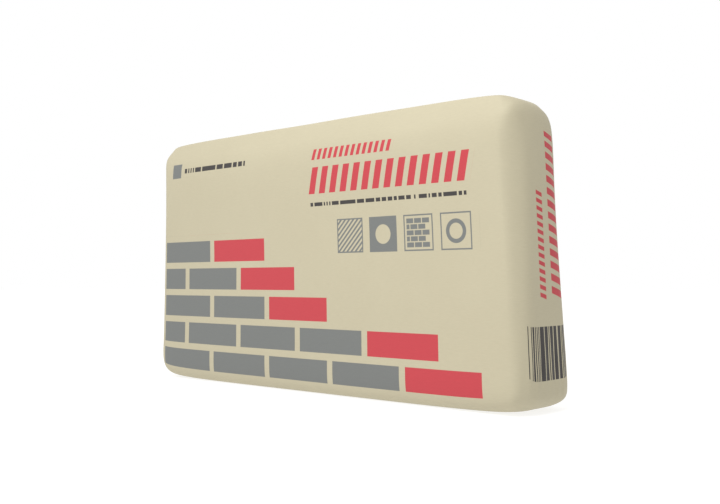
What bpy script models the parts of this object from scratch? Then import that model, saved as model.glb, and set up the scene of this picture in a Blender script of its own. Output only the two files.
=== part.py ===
"""A filled cement bag: one closed paper sack that stands on a long narrow side.

Metres, +Z up. The length runs along X, the broad printed face looks towards -Y,
and the origin is under the middle of the sack, on the surface it stands on.
"""

import math

import bmesh
import bpy
from mathutils import Vector

# Overall size of the filled sack
HEIGHT = 0.330
LENGTH_AT_BASE = 0.605
LENGTH_AT_TOP = 0.597
TOP_SET_BACK = 0.011  # the top's middle lies this far towards -X of the base's middle

# Its depth. The filling settles, so the sack is fullest at its foot.
DEPTH_AT_FOOT = 0.108
DEPTH_ABOVE_FOOT = 0.101
BROAD_FACE_LEAN = 0.0235  # each broad face leans in by this much for each unit of height
DEPTH_AT_TOP = 0.083

# How far inside the sack's edges each face turns flat: a longer margin is a softer edge.
END_MARGIN = 0.0275
FOOT_MARGIN = 0.0455
TOP_MARGIN = 0.040
NARROW_STRIP_HALF = 0.027  # half the width of the strip along the middle of each narrow side

# How far each upright corner's blunt fold reaches along both faces that it joins
BLUNT_FOLD = 0.0147
BLUNT_FOLD_AT_TOP = 0.019

# The folded corners of each end, above and below, are drawn in from the sack's height and length.
CORNER_DROP = 0.016
CORNER_TUCK_AT_TOP = 0.002
SHARE_BESIDE_CORNER = 0.25  # the part of both that the next column takes

PARTS_ALONG = (7, 5, 5)  # how many parts the cage has along X, Y and Z
ROUNDS_OF_SMOOTHING = 2
PAPER_COLOUR = (0.55, 0.50, 0.36, 1.0)


def clear_scene():
    for obj in list(bpy.data.objects):
        bpy.data.objects.remove(obj, do_unlink=True)


def make_collection(name):
    collection = bpy.data.collections.new(name)
    bpy.context.scene.collection.children.link(collection)
    return collection


def make_paper():
    paper = bpy.data.materials.new("sack_paper")
    paper.use_nodes = True
    shader = paper.node_tree.nodes["Principled BSDF"]
    shader.inputs["Base Color"].default_value = PAPER_COLOUR
    shader.inputs["Roughness"].default_value = 0.8
    shader.inputs["Metallic"].default_value = 0.0
    return paper


def divide_cube(cage, parts_along):
    """Cut a unit cube into this many equal parts along X, Y and Z."""
    for axis, parts in enumerate(parts_along):
        along = [
            edge
            for edge in cage.edges
            if abs((edge.verts[1].co - edge.verts[0].co)[axis]) > 0.5
        ]
        bmesh.ops.subdivide_edges(cage, edges=along, cuts=parts - 1, use_grid_fill=True)


def stations(low, high, margins_low, margins_high):
    """Both ends, the margins inside each, and two places that share out what is left."""
    inner_low = low + margins_low[-1]
    inner_high = high - margins_high[-1]
    step = (inner_high - inner_low) / 3
    return (
        [low]
        + [low + margin for margin in margins_low]
        + [inner_low + step, inner_high - step]
        + [high - margin for margin in reversed(margins_high)]
        + [high]
    )


def half_depth(row, z):
    """How far a broad face stands from the middle in this row, at height z."""
    if row == 0:
        return DEPTH_AT_FOOT / 2
    if row == PARTS_ALONG[2]:
        return DEPTH_AT_TOP / 2
    return DEPTH_ABOVE_FOOT / 2 - BROAD_FACE_LEAN * (z - FOOT_MARGIN)


def layers(row, z):
    """Where the six layers of this row stand along Y."""
    depth = half_depth(row, z)
    if row in (0, PARTS_ALONG[2]):
        outer, inner = NARROW_STRIP_HALF, NARROW_STRIP_HALF / 2
    else:
        outer, inner = depth - BLUNT_FOLD, depth - END_MARGIN
    return (-depth, -outer, -inner, inner, outer, depth)


def sack_point(column, layer, row):
    """Where the cage's vertex in this column, layer and row goes."""
    last_column, last_layer, last_row = PARTS_ALONG
    z = stations(0.0, HEIGHT, [FOOT_MARGIN], [TOP_MARGIN])[row]
    up = z / HEIGHT
    half_length = (LENGTH_AT_BASE + (LENGTH_AT_TOP - LENGTH_AT_BASE) * up) / 2
    middle = -TOP_SET_BACK * up
    margins = [BLUNT_FOLD, END_MARGIN]
    x = stations(middle - half_length, middle + half_length, margins, margins)[column]
    y = layers(row, z)[layer]
    if column in (0, last_column) and layer in (0, last_layer):
        fold = BLUNT_FOLD_AT_TOP if row == last_row else BLUNT_FOLD
        x -= math.copysign(fold / 2, x)
        y -= math.copysign(fold / 2, y)
    share = {0: 1.0, 1: SHARE_BESIDE_CORNER}.get(min(column, last_column - column), 0.0)
    if row == 0:
        z += CORNER_DROP * share
    if row == last_row:
        z -= CORNER_DROP * share
        x -= math.copysign(CORNER_TUCK_AT_TOP, x) * share
    return Vector((x, y, z))


def make_sack(collection, paper):
    cage = bmesh.new()
    bmesh.ops.create_cube(cage, size=1.0)
    divide_cube(cage, PARTS_ALONG)
    for vert in cage.verts:
        place = [round((vert.co[axis] + 0.5) * PARTS_ALONG[axis]) for axis in range(3)]
        vert.co = sack_point(*place)
    mesh = bpy.data.meshes.new("sack")
    cage.to_mesh(mesh)
    cage.free()
    mesh.shade_smooth()
    mesh.materials.append(paper)

    sack = bpy.data.objects.new("sack", mesh)
    collection.objects.link(sack)
    smoothing = sack.modifiers.new("soft_form", "SUBSURF")
    smoothing.levels = ROUNDS_OF_SMOOTHING
    smoothing.render_levels = ROUNDS_OF_SMOOTHING
    return sack


def stand_over_origin(obj):
    """Move the object so that its finished shape is centred over the origin and rests at z = 0."""
    bpy.context.view_layer.update()
    finished = obj.evaluated_get(bpy.context.evaluated_depsgraph_get())
    points = [vert.co for vert in finished.to_mesh().vertices]
    lowest = Vector([min(point[axis] for point in points) for axis in range(3)])
    highest = Vector([max(point[axis] for point in points) for axis in range(3)])
    finished.to_mesh_clear()
    middle = (lowest + highest) / 2
    obj.location = (-middle.x, -middle.y, -lowest.z)


clear_scene()
cement_bag = make_collection("cement_bag")
sack = make_sack(cement_bag, make_paper())
stand_over_origin(sack)
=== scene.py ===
import math

import bmesh
import bpy
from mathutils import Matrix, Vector, noise


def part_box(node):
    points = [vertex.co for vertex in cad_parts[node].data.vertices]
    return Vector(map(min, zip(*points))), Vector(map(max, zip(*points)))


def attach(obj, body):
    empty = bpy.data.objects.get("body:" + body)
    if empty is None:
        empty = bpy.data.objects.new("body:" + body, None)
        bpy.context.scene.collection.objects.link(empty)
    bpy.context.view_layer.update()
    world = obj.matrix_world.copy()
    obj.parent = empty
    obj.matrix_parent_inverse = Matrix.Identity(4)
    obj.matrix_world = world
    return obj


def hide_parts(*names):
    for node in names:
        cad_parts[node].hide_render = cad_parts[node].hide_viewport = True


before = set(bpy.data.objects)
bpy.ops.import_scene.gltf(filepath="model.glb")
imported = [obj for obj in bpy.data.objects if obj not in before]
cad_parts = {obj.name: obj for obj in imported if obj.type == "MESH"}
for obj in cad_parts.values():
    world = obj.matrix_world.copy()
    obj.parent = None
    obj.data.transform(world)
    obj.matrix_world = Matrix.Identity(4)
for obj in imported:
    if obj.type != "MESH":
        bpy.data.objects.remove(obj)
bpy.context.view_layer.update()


# The camera stands in front of the sack's right-hand corner, a little below its mid-height, so that
# the printed broad face runs away to the left and the printed end shows on the right.
CAMERA_AZIMUTH = math.radians(41.99)
CAMERA_LOOKS_UP = math.radians(1.85)
CAMERA_DISTANCE = 1.1263
CAMERA_AIM = Vector((0.0252, 0.0206, 0.1716))
CAMERA_LENS = 45.0  # millimetres, on a 36 mm wide sensor
CAMERA_NEAREST = 0.05
CAMERA_FURTHEST = 60.0

looking = Vector((
    -math.sin(CAMERA_AZIMUTH) * math.cos(CAMERA_LOOKS_UP),
    math.cos(CAMERA_AZIMUTH) * math.cos(CAMERA_LOOKS_UP),
    math.sin(CAMERA_LOOKS_UP),
))
camera_data = bpy.data.cameras.new("view_camera")
camera_data.lens = CAMERA_LENS
camera_data.clip_start = CAMERA_NEAREST
camera_data.clip_end = CAMERA_FURTHEST
camera = bpy.data.objects.new("view_camera", camera_data)
bpy.context.scene.collection.objects.link(camera)
camera.location = CAMERA_AIM - CAMERA_DISTANCE * looking
camera.rotation_euler = looking.to_track_quat("-Z", "Y").to_euler()
bpy.context.scene.camera = camera


# The sack is one closed skin of strong paper, folded shut and glued at both ends and packed tight
# with powder. Its upright corners are blunt folds, and its long edges above and below are rolled
# round. It is made as a coarse cage of columns, layers and rows, which subdivision rounds off.
COLUMNS, LAYERS, ROWS = 7, 5, 6  # how many parts the cage has along X, Y and Z
FRONT, BACK = 0, LAYERS
ON_FLOOR, ABOVE_FOOT, BELOW_ROLL, IN_ROLL, ON_TOP = 0, 1, ROWS - 2, ROWS - 1, ROWS
SMOOTHING_ROUNDS = 4

low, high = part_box("sack")
HEIGHT = high.z - low.z
FOOT_MARGIN = 0.046
TOP_MARGIN = 0.045
ROLL_MARGIN = 0.021  # the rolled top edge has a row of its own, this far below the top

LENGTH_AT_BASE = 0.608
LENGTH_AT_TOP = 0.600
MIDDLE_AT_BASE = 0.004  # the base's middle lies this far towards +X of the whole sack's middle
TOP_SET_BACK = 0.0115
END_MARGIN = 0.0295

DEPTH_AT_FOOT = 0.108
DEPTH_ABOVE_FOOT = 0.1015
DEPTH_AT_TOP = 0.0695
BROAD_FACE_LEAN = 0.0183  # how far each broad face leans in for a metre up
SHOULDER_OUT = 0.007  # how far the face stands out just below the top roll
ROLL_TUCK = 0.0012  # how far it lies in again at the roll
FLAT_HALF_AT_FOOT = 0.0285  # half the depth of the flat strip that it stands on
FLAT_HALF_AT_TOP = 0.0335
FLAT_HALF_AT_TOP_CORNER = 0.0152
FACE_EDGE = 0.0147  # how far in from its edge a side is still bent


def evenly(first, last):
    """Four sizes, evenly apart, from the first to the last."""
    step = (last - first) / 3
    return [first + step * place for place in range(4)]


def by_row(on_floor, above_foot, below_roll, in_roll, on_top):
    """A size for each row of the cage. It changes evenly from above the foot to below the roll."""
    return [on_floor, *evenly(above_foot, below_roll), in_roll, on_top]


HEIGHTS = by_row(0.0, FOOT_MARGIN, HEIGHT - TOP_MARGIN, HEIGHT - ROLL_MARGIN, HEIGHT)

# The upright corner folds: how far they reach along the broad face and across the end, where the
# end's flat part starts, how much of the corner is cut off, and how far in the end's edge lies.
FOLD_ALONG = by_row(0.0140, 0.0140, 0.0177, 0.0117, 0.0200)
FOLD_ACROSS = by_row(0.0147, 0.0145, 0.0217, 0.0154, 0.0147)
END_FLAT_FROM = by_row(0.0295, 0.0295, 0.0330, 0.0340, 0.0295)
CUT_ALONG = by_row(0.0070, 0.0062, 0.0088, 0.0053, 0.0083)
CUT_ACROSS = by_row(0.0070, 0.0074, 0.0103, 0.0085, 0.0013)
END_EDGE_IN = by_row(0.0, 0.0008, 0.0020, 0.0033, 0.0)
MORE_CUT_AT_BACK = {BELOW_ROLL: -0.0045, IN_ROLL: 0.0019}
BACK_FOLD_OUT = 0.0025  # how far the back fold stands out across the end, below the roll

# Where three edges meet, the foot is pushed up and the top is folded down and in.
SHARE_BESIDE_END = 0.25  # how much of that the column beside an end takes
FOOT_END_RISE = 0.017
MORE_RISE_AT = {FRONT: 0.010, BACK: -0.006}
MORE_RISE_BETWEEN = -0.0047
FOOT_SIDE_RISE = 0.0065
LOW_END_DROP = 0.0075
ROLL_CORNER_RISE = 0.0016
ROLL_END_DROP = 0.0091
TOP_END_DROP = 0.0102
TOP_END_IN = 0.0035
TOP_SIDE_DROP = 0.0068
TOP_END_RISE_BETWEEN = 0.0018
TOP_DROP_NEAR_BACK = 0.006

# The flat sheet that the print is laid out on: the broad panel and the two end panels beside it.
PANEL_HALF = 0.300
PANEL_DEPTH = 0.095
BACK_PANEL_MIDDLE = 3 * PANEL_HALF + PANEL_DEPTH  # the bare back lies apart from the other panels


def from_end(column):
    """How many columns away the nearer end is."""
    return min(column, COLUMNS - column)


def end_share(column):
    """How much of an end's rise or drop this column takes."""
    return {0: 1.0, 1: SHARE_BESIDE_END}.get(from_end(column), 0.0)


def columns(low_end, high_end, fold):
    """Where the eight columns of a row stand along X."""
    inner = evenly(low_end + END_MARGIN, high_end - END_MARGIN)
    return [low_end, low_end + fold, *inner, high_end - fold, high_end]


def half_depth(row):
    """How far a broad face stands from the middle in this row."""
    if row == ON_FLOOR:
        return DEPTH_AT_FOOT / 2
    if row == ON_TOP:
        return DEPTH_AT_TOP / 2
    upright = DEPTH_ABOVE_FOOT / 2 - BROAD_FACE_LEAN * (HEIGHTS[row] - FOOT_MARGIN)
    return upright - (ROLL_TUCK if row == IN_ROLL else 0.0)


def layers(column, row):
    """Where the six layers of this row stand along Y."""
    depth = half_depth(row)
    if row == ON_FLOOR:
        outer, inner = FLAT_HALF_AT_FOOT, FLAT_HALF_AT_FOOT / 2
    elif row == ON_TOP:
        outer = FLAT_HALF_AT_TOP_CORNER if from_end(column) == 0 else FLAT_HALF_AT_TOP
        inner = outer / 2
    elif from_end(column) <= 1:
        outer, inner = depth - FOLD_ACROSS[row], depth - END_FLAT_FROM[row]
    else:
        outer, inner = depth - FACE_EDGE, depth - END_MARGIN
    return (-depth, -outer, -inner, inner, outer, depth)


def end_in(layer, row):
    """How far in an end's vertex lies, on the cut corners and just beside them."""
    if layer == BACK:
        return CUT_ALONG[row] + MORE_CUT_AT_BACK.get(row, 0.0)
    if layer == FRONT:
        return CUT_ALONG[row]
    return END_EDGE_IN[row] if layer in (FRONT + 1, BACK - 1) else 0.0


def place_along(column, layer, row):
    """Where the cage's vertex stands along X."""
    up = HEIGHTS[row] / HEIGHT
    half_length = (LENGTH_AT_BASE + (LENGTH_AT_TOP - LENGTH_AT_BASE) * up) / 2
    middle = MIDDLE_AT_BASE - TOP_SET_BACK * up
    x = columns(middle - half_length, middle + half_length, FOLD_ALONG[row])[column]
    inward = end_in(layer, row) if from_end(column) == 0 else 0.0
    if row == ON_TOP:
        inward += TOP_END_IN * end_share(column)
    return x - math.copysign(inward, x)


def place_across(column, layer, row):
    """Where the cage's vertex stands along Y."""
    y = layers(column, row)[layer]
    if from_end(column) == 0 and layer in (FRONT, BACK):
        y -= math.copysign(CUT_ACROSS[row], y)
    if from_end(column) == 0 and layer == BACK and row == BELOW_ROLL:
        y += BACK_FOLD_OUT
    if from_end(column) > 1 and row == BELOW_ROLL:
        y += math.copysign(SHOULDER_OUT, y)
    return y


def foot_lift(column, layer):
    """How far the foot is pushed up off the floor."""
    lift = FOOT_END_RISE * end_share(column)
    if from_end(column) == 0:
        lift += MORE_RISE_AT.get(layer, MORE_RISE_BETWEEN)
    if from_end(column) == 1 and layer in (FRONT, BACK):
        lift += FOOT_SIDE_RISE
    return lift


def top_lift(column, layer):
    """How far the top stands above its own height: below zero, because it is folded down."""
    lift = -TOP_END_DROP * end_share(column)
    if from_end(column) == 1 and layer in (FRONT, BACK):
        lift -= TOP_SIDE_DROP
    if from_end(column) == 0 and layer not in (FRONT, BACK):
        lift += TOP_END_RISE_BETWEEN
    if from_end(column) == 0 and layer == BACK - 1:
        lift -= TOP_DROP_NEAR_BACK
    return lift


def place_up(column, layer, row):
    """How high the cage's vertex stands."""
    at_end = from_end(column) == 0
    at_corner = at_end and layer in (FRONT, BACK)
    lift = 0.0
    if row == ON_FLOOR:
        lift = foot_lift(column, layer)
    elif row == ON_TOP:
        lift = top_lift(column, layer)
    elif row == ABOVE_FOOT and at_end and not at_corner:
        lift = -LOW_END_DROP
    elif row == IN_ROLL and at_end:
        lift = ROLL_CORNER_RISE if at_corner else -ROLL_END_DROP
    return HEIGHTS[row] + lift


def sheet_point(side, column, layer, row):
    """Where a vertex of this side lies on the flat sheet, in metres from the broad panel's foot."""
    along = columns(-PANEL_HALF, PANEL_HALF, FACE_EDGE)[column]
    depth = half_depth(row)
    inward = (layers(column, row)[layer] + depth) / (2 * depth) * PANEL_DEPTH
    return {
        "front": (along, HEIGHTS[row]),
        "right_end": (PANEL_HALF + inward, HEIGHTS[row]),
        "left_end": (-PANEL_HALF - inward, HEIGHTS[row]),
        "back": (BACK_PANEL_MIDDLE - along, HEIGHTS[row]),
        "top": (along, HEIGHT + inward),
        "underside": (along, -inward),
    }[side]


def side_of(places):
    """Which side of the sack a face of the cage is on, from the places of its vertices."""
    across_x, across_y, across_z = ({place[axis] for place in places} for axis in range(3))
    if len(across_y) == 1:
        return "front" if across_y == {FRONT} else "back"
    if len(across_x) == 1:
        return "left_end" if across_x == {0} else "right_end"
    return "underside" if across_z == {ON_FLOOR} else "top"


def divide_cube(cage, parts_along):
    """Cut a unit cube into this many equal parts along X, Y and Z."""
    for axis, parts in enumerate(parts_along):
        along = [
            edge
            for edge in cage.edges
            if abs((edge.verts[1].co - edge.verts[0].co)[axis]) > 0.5
        ]
        bmesh.ops.subdivide_edges(cage, edges=along, cuts=parts - 1, use_grid_fill=True)


def make_cage():
    """The sack's cage: a divided cube, laid out on the flat sheet and then moved into shape."""
    cage = bmesh.new()
    bmesh.ops.create_cube(cage, size=1.0)
    parts_along = (COLUMNS, LAYERS, ROWS)
    divide_cube(cage, parts_along)
    places = {
        vert: tuple(round((vert.co[axis] + 0.5) * parts_along[axis]) for axis in range(3))
        for vert in cage.verts
    }
    sheet = cage.loops.layers.uv.new("sheet")
    for face in cage.faces:
        side = side_of([places[vert] for vert in face.verts])
        for loop in face.loops:
            loop[sheet].uv = sheet_point(side, *places[loop.vert])
    for vert, place in places.items():
        vert.co = (place_along(*place), place_across(*place), place_up(*place))
    mesh = bpy.data.meshes.new("paper_sack")
    cage.to_mesh(mesh)
    cage.free()
    return mesh


def smoothed(mesh, rounds):
    """A new mesh: this one after so many rounds of subdivision."""
    carrier = bpy.data.objects.new("carrier", mesh)
    bpy.context.scene.collection.objects.link(carrier)
    smoothing = carrier.modifiers.new("soft_form", "SUBSURF")
    smoothing.levels = rounds
    smoothing.render_levels = rounds
    bpy.context.view_layer.update()
    evaluated = carrier.evaluated_get(bpy.context.evaluated_depsgraph_get())
    finished = bpy.data.meshes.new_from_object(evaluated)
    bpy.data.objects.remove(carrier)
    finished.shade_smooth()
    return finished


# The filled paper isn't dead flat: it has slow, shallow swells a hand or so across, and on the
# ends it is gathered into fine upright ripples just above the foot.
SWELL_LENGTH = 0.11
SWELL_HEIGHT = 0.0006
STILL_BELOW = 0.012  # the paper that carries the weight stays flat
RIPPLE_LENGTH = 0.013
RIPPLE_HEIGHT = 0.0004
RIPPLES_MIDDLE = 0.048
RIPPLES_REACH = 0.030
RIPPLE_DRIFT = 2.5  # radians, so that the ripples aren't evenly apart
RIPPLE_DRIFT_LENGTH = 0.035


def ripple(place, normal):
    """How far the gathered paper stands out here, down to nothing on the broad faces."""
    fading = math.exp(-(((place.z - RIPPLES_MIDDLE) / RIPPLES_REACH) ** 2)) * normal.x ** 4
    drift = RIPPLE_DRIFT * noise.noise(place / RIPPLE_DRIFT_LENGTH)
    return RIPPLE_HEIGHT * fading * math.sin(math.tau * place.y / RIPPLE_LENGTH + drift)


def swell(mesh):
    """Move the skin in and out by its swells and ripples."""
    offsets = []
    for vert in mesh.vertices:
        still = min(max(vert.co.z / STILL_BELOW, 0.0), 1.0)
        slow = SWELL_HEIGHT * noise.noise(vert.co / SWELL_LENGTH)
        offsets.append(still * (slow + ripple(vert.co, vert.normal)))
    moved = [vert.co + offset * vert.normal for vert, offset in zip(mesh.vertices, offsets)]
    for vert, place in zip(mesh.vertices, moved):
        vert.co = place
    mesh.update()


# The print is three inks, laid by rollers on the broad front and the right end before the paper is
# folded into a sack, so it is laid out on the flat sheet. Each kind of shape is a shader group that
# gives a mask, and is placed wherever that shape is printed.
RED_INK = (0.484, 0.038, 0.050, 1.0)
GREY_INK = (0.155, 0.162, 0.154, 1.0)
DARK_INK = (0.035, 0.030, 0.028, 1.0)
INK_EDGE = 0.0004  # how far the ink's edge fades
BRICK_SLIVER = 0.01  # a course ends this share of a brick early, so no sliver of the next shows


def number_or_link(tree, socket, term):
    """Feed a socket with a number or a colour, or with another node's socket."""
    if isinstance(term, bpy.types.NodeSocket):
        tree.links.new(term, socket)
    else:
        socket.default_value = term


def calc(tree, operation, *terms):
    """The result of one Math node. Each term is a number or another node's socket."""
    node = tree.nodes.new("ShaderNodeMath")
    node.operation = operation
    for socket, term in zip(node.inputs, terms):
        number_or_link(tree, socket, term)
    return node.outputs[0]


def new_group(name, sizes=(), masks=("Mask",)):
    """A node group that takes a place and named sizes, and puts out named masks.

    Returns it with its inner input and output sockets.
    """
    group = bpy.data.node_groups.new(name, "ShaderNodeTree")
    group.interface.new_socket("Place", in_out="INPUT", socket_type="NodeSocketVector")
    for title in sizes:
        group.interface.new_socket(title, in_out="INPUT", socket_type="NodeSocketFloat")
    for title in masks:
        group.interface.new_socket(title, in_out="OUTPUT", socket_type="NodeSocketFloat")
    given = group.nodes.new("NodeGroupInput").outputs
    result = group.nodes.new("NodeGroupOutput").inputs
    return group, given, result


def use_group(tree, group, **values):
    """Place a group in a tree; a socket named "Brick Length" is given as brick_length."""
    node = tree.nodes.new("ShaderNodeGroup")
    node.node_tree = group
    for name, term in values.items():
        number_or_link(tree, node.inputs[name.replace("_", " ").title()], term)
    return node.outputs


def along_and_up(tree, place):
    """Split a place on the sheet into how far along and how far up it is."""
    split = tree.nodes.new("ShaderNodeSeparateXYZ")
    tree.links.new(place, split.inputs[0])
    return split.outputs[0], split.outputs[1]


def inked(tree, *insides):
    """A mask from several lengths, each above zero where the ink is."""
    least = insides[0]
    for inside in insides[1:]:
        least = calc(tree, "MINIMUM", least, inside)
    scaled = calc(tree, "MULTIPLY_ADD", least, 1.0 / INK_EDGE, 0.5)
    return calc(tree, "MINIMUM", calc(tree, "MAXIMUM", scaled, 0.0), 1.0)


def between_ends(tree, value, low_end, high_end):
    """How far a value lies inside a range: below zero outside it."""
    return calc(
        tree, "MINIMUM",
        calc(tree, "SUBTRACT", value, low_end),
        calc(tree, "SUBTRACT", high_end, value),
    )


def most(tree, masks):
    """The strongest of several masks."""
    result = masks[0]
    for mask in masks[1:]:
        result = calc(tree, "MAXIMUM", result, mask)
    return result


def without(tree, mask, taken_out):
    """What is left of a mask where another is taken out of it."""
    return calc(tree, "MAXIMUM", calc(tree, "SUBTRACT", mask, taken_out), 0.0)


def make_block_row():
    """A row of equal blocks, upright or slanted."""
    group, given, result = new_group(
        "row_of_blocks", ("Left", "Low", "Pitch", "Width", "Height", "Count", "Slant"),
    )
    x, y = along_and_up(group, given["Place"])
    up = calc(group, "SUBTRACT", y, given["Low"])
    along = calc(group, "SUBTRACT", calc(group, "SUBTRACT", x, given["Left"]),
                 calc(group, "MULTIPLY", up, given["Slant"]))
    index = calc(group, "FLOOR", calc(group, "DIVIDE", along, given["Pitch"]))
    within = calc(group, "SUBTRACT", along, calc(group, "MULTIPLY", index, given["Pitch"]))
    span = calc(group, "MULTIPLY", given["Pitch"], given["Count"])
    group.links.new(inked(
        group,
        between_ends(group, within, 0.0, given["Width"]),
        between_ends(group, up, 0.0, given["Height"]),
        between_ends(group, along, 0.0, span),
    ), result["Mask"])
    return group


def make_brick_wall():
    """Courses of bricks, each course shorter than the one below, and a mask of their end bricks."""
    group, given, result = new_group(
        "brick_wall",
        ("Left", "Low", "Brick Length", "Course Height", "Joint", "Courses", "Bricks", "Step"),
        ("Bricks", "End Bricks"),
    )
    x, y = along_and_up(group, given["Place"])
    length, height, joint = given["Brick Length"], given["Course Height"], given["Joint"]
    up = calc(group, "SUBTRACT", y, given["Low"])
    course = calc(group, "FLOOR", calc(group, "DIVIDE", up, height))
    in_course = calc(group, "SUBTRACT", up, calc(group, "MULTIPLY", course, height))
    half_brick = calc(group, "MULTIPLY", calc(group, "MODULO", course, 2.0), 0.5)
    along = calc(group, "SUBTRACT", x, given["Left"])
    bricks_along = calc(group, "ADD", calc(group, "DIVIDE", along, length), half_brick)
    index = calc(group, "FLOOR", bricks_along)
    in_brick = calc(group, "MULTIPLY", calc(group, "SUBTRACT", bricks_along, index), length)
    bricks_here = calc(group, "SUBTRACT", given["Bricks"],
                       calc(group, "MULTIPLY", course, given["Step"]))
    count_here = calc(group, "FLOOR", calc(group, "ADD", bricks_here, half_brick))
    course_end = calc(group, "SUBTRACT", count_here, BRICK_SLIVER)
    solid = inked(
        group,
        between_ends(group, in_brick, 0.0, calc(group, "SUBTRACT", length, joint)),
        between_ends(group, in_course, 0.0, calc(group, "SUBTRACT", height, joint)),
        between_ends(group, up, 0.0, calc(group, "MULTIPLY", height, given["Courses"])),
        along,
        calc(group, "SUBTRACT", course_end, bricks_along),
    )
    # Bricks count from 0, so this lies halfway between the last brick but one and the last.
    before_last = calc(group, "SUBTRACT", count_here, 1.5)
    at_end = calc(group, "GREATER_THAN", index, before_last)
    group.links.new(solid, result["Bricks"])
    group.links.new(calc(group, "MULTIPLY", solid, at_end), result["End Bricks"])
    return group


def make_round_spot():
    """A round spot."""
    group, given, result = new_group("round_spot", ("Centre Along", "Centre Up", "Radius"))
    x, y = along_and_up(group, given["Place"])
    across = calc(group, "SUBTRACT", x, given["Centre Along"])
    up = calc(group, "SUBTRACT", y, given["Centre Up"])
    squares = calc(group, "ADD", calc(group, "MULTIPLY", across, across),
                   calc(group, "MULTIPLY", up, up))
    inside = calc(group, "SUBTRACT", given["Radius"], calc(group, "SQRT", squares))
    group.links.new(inked(group, inside), result["Mask"])
    return group


def make_random_bars():
    """Upright bars of uneven widths, some of them side by side."""
    group, given, result = new_group(
        "random_bars", ("Left", "Low", "Width", "Height", "Finest", "Share", "Seed"),
    )
    x, y = along_and_up(group, given["Place"])
    along = calc(group, "SUBTRACT", x, given["Left"])
    up = calc(group, "SUBTRACT", y, given["Low"])
    index = calc(group, "FLOOR", calc(group, "DIVIDE", along, given["Finest"]))
    draw = group.nodes.new("ShaderNodeTexWhiteNoise")
    draw.noise_dimensions = "1D"
    group.links.new(calc(group, "ADD", index, given["Seed"]), draw.inputs["W"])
    drawn = calc(group, "LESS_THAN", draw.outputs["Value"], given["Share"])
    field = inked(
        group,
        between_ends(group, along, 0.0, given["Width"]),
        between_ends(group, up, 0.0, given["Height"]),
    )
    group.links.new(calc(group, "MULTIPLY", drawn, field), result["Mask"])
    return group


block_row = make_block_row()
brick_wall = make_brick_wall()
round_spot = make_round_spot()
random_bars = make_random_bars()

# Lower half of the broad front: a wall whose courses step down to the right.
BRICK_WALL = dict(left=-0.281, low=0.013, brick_length=0.108, course_height=0.0370, joint=0.0085,
                  courses=5.0, bricks=5.3, step=0.75)

# Upper half, on the right: two rows of slanted strokes, a fine line below them, then four tiles.
STROKES = dict(count=14, slant=0.25)
UPPER_STROKES = dict(left=0.016, low=0.281, pitch=0.0090, width=0.0050, height=0.013, **STROKES)
LOWER_STROKES = dict(left=0.010, low=0.240, pitch=0.0168, width=0.0098, height=0.032, **STROKES)
FINE_LINE = dict(left=0.010, low=0.225, width=0.230, height=0.0045, finest=0.0022, share=0.72,
                 seed=3.0)
TILE = 0.040
TILE_COUNT = 4
TILE_PITCH = 0.050
TILES_LEFT = 0.054
TILES_LOW = 0.168
TILE_RIM = 0.0016
HATCHING = dict(left=TILES_LEFT - TILE, low=TILES_LOW, pitch=0.0065, width=0.0032, height=TILE,
                count=20, slant=1.0)
DISC_RADIUS = 0.011
SMALL_WALL_MARGIN = 0.004
SMALL_WALL = dict(brick_length=0.0108, course_height=0.0066, joint=0.0012, courses=5.0, bricks=3.0,
                  step=0.0)
RING_RADIUS = 0.013
RING_HOLE_RADIUS = 0.0085

# Upper half, on the left: a small square with a fine line beside it.
SMALL_SQUARE = dict(left=-0.262, low=0.279, pitch=0.020, width=0.020, height=0.020, count=1)
SQUARE_LINE = dict(left=-0.234, low=0.285, width=0.128, height=0.0065, finest=0.0026, share=0.7,
                   seed=11.0)

# The right end: two rows of slanted strokes that run upwards, over a field of uneven bars.
END_MIDDLE = PANEL_HALF + PANEL_DEPTH / 2
END_STROKES = dict(left=0.118, low=-0.034, pitch=0.0128, width=0.0074, height=0.024, **STROKES)
END_FINE_STROKES = dict(left=0.118, low=0.001, pitch=0.0080, width=0.0044, height=0.011, **STROKES)
END_BARS = dict(left=END_MIDDLE - 0.037, low=0.034, width=0.074, height=0.058, finest=0.0014,
                share=0.55, seed=5.0)


def tile_left(number):
    """Where a tile's left edge is. The first tile is number 0."""
    return TILES_LEFT + number * TILE_PITCH


def tile_squares(tree, flat, first=0, count=1, margin=0.0):
    """So many of the tiles' squares, each smaller by this margin all round."""
    size = TILE - 2 * margin
    return use_group(tree, block_row, place=flat, left=tile_left(first) + margin,
                     low=TILES_LOW + margin, pitch=TILE_PITCH, width=size, height=size,
                     count=count)["Mask"]


def tile_spot(tree, flat, number, radius):
    """A round spot in the middle of a tile."""
    return use_group(tree, round_spot, place=flat, centre_along=tile_left(number) + TILE / 2,
                     centre_up=TILES_LOW + TILE / 2, radius=radius)["Mask"]


def print_tiles(tree, flat):
    """Four small tiles in thin rims: hatched, solid round a bare disc, a small wall and a ring."""
    rims = without(tree, tile_squares(tree, flat, count=TILE_COUNT),
                   tile_squares(tree, flat, count=TILE_COUNT, margin=TILE_RIM))
    hatching = calc(tree, "MULTIPLY", tile_squares(tree, flat, first=0),
                    use_group(tree, block_row, place=flat, **HATCHING)["Mask"])
    solid = without(tree, tile_squares(tree, flat, first=1),
                    tile_spot(tree, flat, number=1, radius=DISC_RADIUS))
    small_wall = use_group(tree, brick_wall, place=flat, left=tile_left(2) + SMALL_WALL_MARGIN,
                           low=TILES_LOW + SMALL_WALL_MARGIN, **SMALL_WALL)["Bricks"]
    ring = without(tree, tile_spot(tree, flat, number=3, radius=RING_RADIUS),
                   tile_spot(tree, flat, number=3, radius=RING_HOLE_RADIUS))
    return most(tree, [rims, hatching, solid, small_wall, ring])


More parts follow.
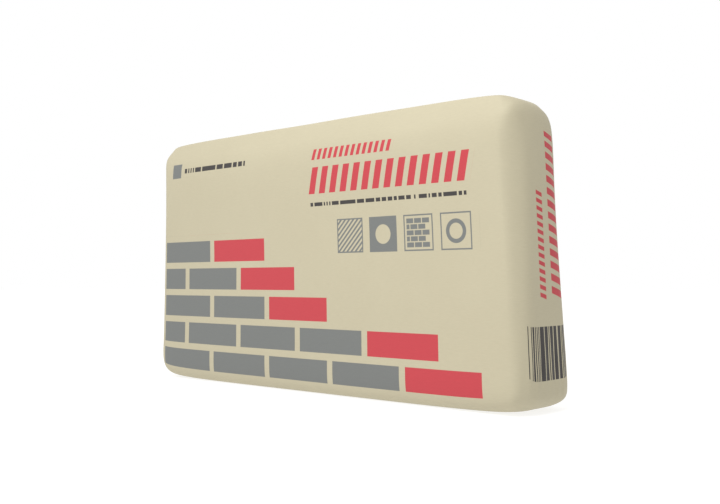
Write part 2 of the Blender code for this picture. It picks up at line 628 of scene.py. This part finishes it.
def turned_up_the_end(tree, flat):
    """The sheet turned, so that what is laid out along it runs up the middle of the right end."""
    along, up = along_and_up(tree, flat)
    turned = tree.nodes.new("ShaderNodeCombineXYZ")
    tree.links.new(up, turned.inputs[0])
    tree.links.new(calc(tree, "SUBTRACT", END_MIDDLE, along), turned.inputs[1])
    return turned.outputs[0]


def print_masks(tree):
    """Where the red, the grey and the dark ink lie."""
    sheet = tree.nodes.new("ShaderNodeUVMap")
    sheet.uv_map = "sheet"
    flat = sheet.outputs[0]
    up_the_end = turned_up_the_end(tree, flat)
    wall = use_group(tree, brick_wall, place=flat, **BRICK_WALL)
    red = most(tree, [
        wall["End Bricks"],
        use_group(tree, block_row, place=flat, **UPPER_STROKES)["Mask"],
        use_group(tree, block_row, place=flat, **LOWER_STROKES)["Mask"],
        use_group(tree, block_row, place=up_the_end, **END_STROKES)["Mask"],
        use_group(tree, block_row, place=up_the_end, **END_FINE_STROKES)["Mask"],
    ])
    grey = most(tree, [
        without(tree, wall["Bricks"], wall["End Bricks"]),
        print_tiles(tree, flat),
        use_group(tree, block_row, place=flat, **SMALL_SQUARE)["Mask"],
    ])
    dark = most(tree, [
        use_group(tree, random_bars, place=flat, **FINE_LINE)["Mask"],
        use_group(tree, random_bars, place=flat, **SQUARE_LINE)["Mask"],
        use_group(tree, random_bars, place=flat, **END_BARS)["Mask"],
    ])
    return red, grey, dark


# The paper is cream and matt, with a cloudy tint, short fibres that lie mostly level and a fine
# tooth. The inks soak in, and leave it a little smoother than it is where it is bare.
PAPER = (0.487, 0.442, 0.310, 1.0)
PAPER_DARK = (0.458, 0.412, 0.286, 1.0)
PAPER_ROUGHNESS = 0.68
INK_ROUGHNESS = 0.56
FIBRE_SHADE = 0.10  # the share of the colour's lightness between the darkest and lightest fibre
TOOTH_HEIGHT = 0.00015
TOOTH_STRENGTH = 0.5
CLOUDS_IN_A_METRE = 14.0
GRAINS_IN_A_METRE = 420.0
FIBRES_IN_A_METRE = 900.0
UNSTRETCHED = (1.0, 1.0, 1.0)
STRETCHED_LEVEL = (0.16, 0.16, 1.0)
FINER_SHARE = 0.6  # how strong each finer layer of a cloudy pattern is, against the one before


def make_paper_fibre():
    """Cloudy tint, short fibres and a height for sack paper."""
    group, given, result = new_group("paper_fibre", masks=("Tint", "Fibres", "Height"))

    def cloud(scale, detail, stretch):
        """A cloudy pattern, stretched in the directions whose number is below 1."""
        mapping = group.nodes.new("ShaderNodeMapping")
        mapping.inputs["Scale"].default_value = stretch
        group.links.new(given["Place"], mapping.inputs["Vector"])
        texture = group.nodes.new("ShaderNodeTexNoise")
        texture.inputs["Scale"].default_value = scale
        texture.inputs["Detail"].default_value = detail
        texture.inputs["Roughness"].default_value = FINER_SHARE
        group.links.new(mapping.outputs[0], texture.inputs["Vector"])
        return texture.outputs["Fac"]

    broad = cloud(CLOUDS_IN_A_METRE, detail=3.0, stretch=UNSTRETCHED)
    fine = cloud(GRAINS_IN_A_METRE, detail=2.0, stretch=UNSTRETCHED)
    fibres = cloud(FIBRES_IN_A_METRE, detail=2.0, stretch=STRETCHED_LEVEL)
    height = calc(group, "ADD", calc(group, "MULTIPLY", fine, 0.5),
                  calc(group, "MULTIPLY", fibres, 0.5))
    group.links.new(broad, result["Tint"])
    group.links.new(fibres, result["Fibres"])
    group.links.new(height, result["Height"])
    return group


def mix_colour(tree, share, first, second):
    """The first colour where the share is 0, the second where it is 1."""
    node = tree.nodes.new("ShaderNodeMix")
    node.data_type = "RGBA"
    number_or_link(tree, node.inputs["Factor"], share)
    number_or_link(tree, node.inputs[6], first)
    number_or_link(tree, node.inputs[7], second)
    return node.outputs[2]


def make_printed_paper():
    """The sack's own material: bare paper with the three inks on it."""
    paper = bpy.data.materials.new("sack_paper")
    paper.use_nodes = True
    tree = paper.node_tree
    shader = tree.nodes["Principled BSDF"]
    red, grey, dark = print_masks(tree)
    object_place = tree.nodes.new("ShaderNodeTexCoord").outputs["Object"]
    fibre = use_group(tree, make_paper_fibre(), place=object_place)

    colour = mix_colour(tree, fibre["Tint"], PAPER_DARK, PAPER)
    colour = mix_colour(tree, grey, colour, GREY_INK)
    colour = mix_colour(tree, red, colour, RED_INK)
    colour = mix_colour(tree, dark, colour, DARK_INK)
    shade = tree.nodes.new("ShaderNodeVectorMath")
    shade.operation = "SCALE"
    tree.links.new(colour, shade.inputs[0])
    tree.links.new(calc(tree, "MULTIPLY_ADD", fibre["Fibres"], FIBRE_SHADE, 1.0 - FIBRE_SHADE / 2),
                   shade.inputs["Scale"])
    tree.links.new(shade.outputs[0], shader.inputs["Base Color"])

    tree.links.new(calc(tree, "MULTIPLY_ADD", most(tree, [red, grey, dark]),
                        INK_ROUGHNESS - PAPER_ROUGHNESS, PAPER_ROUGHNESS),
                   shader.inputs["Roughness"])
    tooth = tree.nodes.new("ShaderNodeBump")
    tooth.inputs["Distance"].default_value = TOOTH_HEIGHT
    tooth.inputs["Strength"].default_value = TOOTH_STRENGTH
    tree.links.new(fibre["Height"], tooth.inputs["Height"])
    tree.links.new(tooth.outputs[0], shader.inputs["Normal"])
    return paper


skin = smoothed(make_cage(), SMOOTHING_ROUNDS)
swell(skin)
sack = bpy.data.objects.new("paper_sack", skin)
bpy.context.scene.collection.objects.link(sack)
sack.data.materials.append(make_printed_paper())
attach(sack, "root")
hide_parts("sack")


# A plain white floor, lit a little from below like a light table, and soft studio light: a lamp
# hangs above and in front of the broad face's right half, and the white surroundings fill the
# rest, less from the right, where the end looks.
WHITE = (1.0, 1.0, 1.0, 1.0)
FLOOR_SIZE = 24.0
FLOOR_COLOUR = (0.3, 0.3, 0.3, 1.0)
FLOOR_ROUGHNESS = 0.9
FLOOR_GLOW = 0.76
LAMP_PLACE = Vector((0.262, -0.760, 1.297))
LAMP_AIM = Vector((0.0, 0.0, 0.15))
LAMP_SIZE = 0.9
LAMP_WATTS = 11.9
SURROUNDINGS_LEFT = 1.0
SURROUNDINGS_RIGHT = 0.38


def make_floor():
    """The floor, which isn't part of the object."""
    bpy.ops.mesh.primitive_plane_add(size=FLOOR_SIZE, location=(0.0, 0.0, 0.0))
    floor = bpy.context.object
    floor.name = "studio_floor"
    glowing = bpy.data.materials.new("studio_floor")
    glowing.use_nodes = True
    shader = glowing.node_tree.nodes["Principled BSDF"]
    shader.inputs["Base Color"].default_value = FLOOR_COLOUR
    shader.inputs["Roughness"].default_value = FLOOR_ROUGHNESS
    shader.inputs["Emission Color"].default_value = WHITE
    shader.inputs["Emission Strength"].default_value = FLOOR_GLOW
    floor.data.materials.append(glowing)


def make_lamp():
    """The one soft, round lamp."""
    data = bpy.data.lights.new("broad_lamp", "AREA")
    data.shape = "DISK"
    data.size = LAMP_SIZE
    data.energy = LAMP_WATTS
    lamp = bpy.data.objects.new("broad_lamp", data)
    bpy.context.scene.collection.objects.link(lamp)
    lamp.location = LAMP_PLACE
    lamp.rotation_euler = (LAMP_AIM - LAMP_PLACE).to_track_quat("-Z", "Y").to_euler()


def make_surroundings():
    """White all round, at full strength on the left and weaker towards the right."""
    world = bpy.data.worlds.new("studio")
    world.use_nodes = True
    tree = world.node_tree
    direction = tree.nodes.new("ShaderNodeTexCoord").outputs["Generated"]
    split = tree.nodes.new("ShaderNodeSeparateXYZ")
    tree.links.new(direction, split.inputs[0])
    strength = tree.nodes.new("ShaderNodeMapRange")
    strength.inputs["To Min"].default_value = SURROUNDINGS_LEFT
    strength.inputs["To Max"].default_value = SURROUNDINGS_RIGHT
    tree.links.new(split.outputs[0], strength.inputs["Value"])
    background = tree.nodes["Background"]
    background.inputs["Color"].default_value = WHITE
    tree.links.new(strength.outputs[0], background.inputs["Strength"])
    bpy.context.scene.world = world


make_floor()
make_lamp()
make_surroundings()
bpy.context.scene.view_settings.view_transform = "Standard"


bpy.context.view_layer.update()
